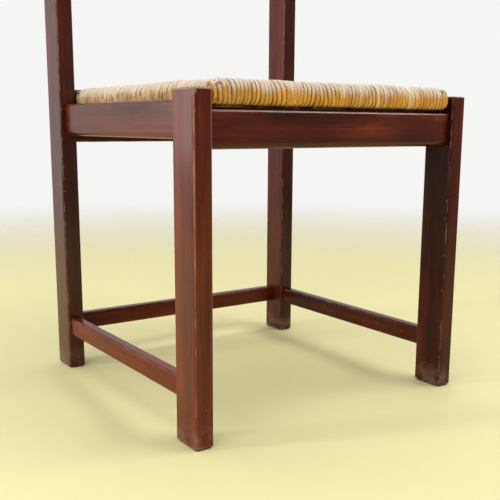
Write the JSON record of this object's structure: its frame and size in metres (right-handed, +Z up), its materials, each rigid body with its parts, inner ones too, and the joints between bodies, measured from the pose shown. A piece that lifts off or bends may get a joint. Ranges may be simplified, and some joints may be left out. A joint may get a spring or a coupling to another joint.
{
  "type": "rush seat chair",
  "caption": "Straight dining chair of dark stained boards with low stretchers, curved back slats and a loose woven rush seat.",
  "frame": {"origin": "on the floor, under the middle of the chair's outline", "axes": "+Z up, -Y towards the front of the seat, +X to the right for someone facing the front"},
  "size_m": [0.451, 0.448, 0.86],
  "materials": {
    "stained_wood": "dark red-brown stain under satin varnish, worn on the arrises",
    "bare_wood": "bare planed wood",
    "foot_pad": "matt black",
    "rush": "twisted dry rush cord, straw to ochre",
    "screw_steel": "zinc plated",
    "packing": "loose rush waste"
  },
  "bodies": {
    "frame": {"front_leg_left": "stained_wood", "front_leg_right": "stained_wood", "back_post_left": "stained_wood", "back_post_right": "stained_wood", "front_rail": "stained_wood", "back_rail": "stained_wood", "side_rail_left": "stained_wood", "side_rail_right": "stained_wood", "side_stretcher_left": "stained_wood", "side_stretcher_right": "stained_wood", "back_stretcher": "stained_wood", "lower_back_slat": "stained_wood", "upper_back_slat": "stained_wood", "corner_block_front_left": "stained_wood", "corner_block_front_right": "stained_wood", "corner_block_back_left": "stained_wood", "corner_block_back_right": "stained_wood", "seat_bearer_front": "stained_wood", "seat_bearer_back": "stained_wood", "seat_bearer_left": "stained_wood", "seat_bearer_right": "stained_wood", "foot_pad_front_left": "foot_pad", "foot_pad_front_right": "foot_pad", "foot_pad_back_left": "foot_pad", "foot_pad_back_right": "foot_pad"},
    "seat": {"seat_frame_front": "bare_wood", "seat_frame_rear": "bare_wood", "seat_frame_left": "bare_wood", "seat_frame_right": "bare_wood", "seat_packing": "packing", "rush_front": "rush", "rush_rear": "rush", "rush_left": "rush", "rush_right": "rush"}
  },
  "joints": [
    {"name": "seat_lift", "type": "slide", "parent": "frame", "child": "seat", "axis": [0, 0, 1], "range_m": [0, 0.12]}
  ]
}
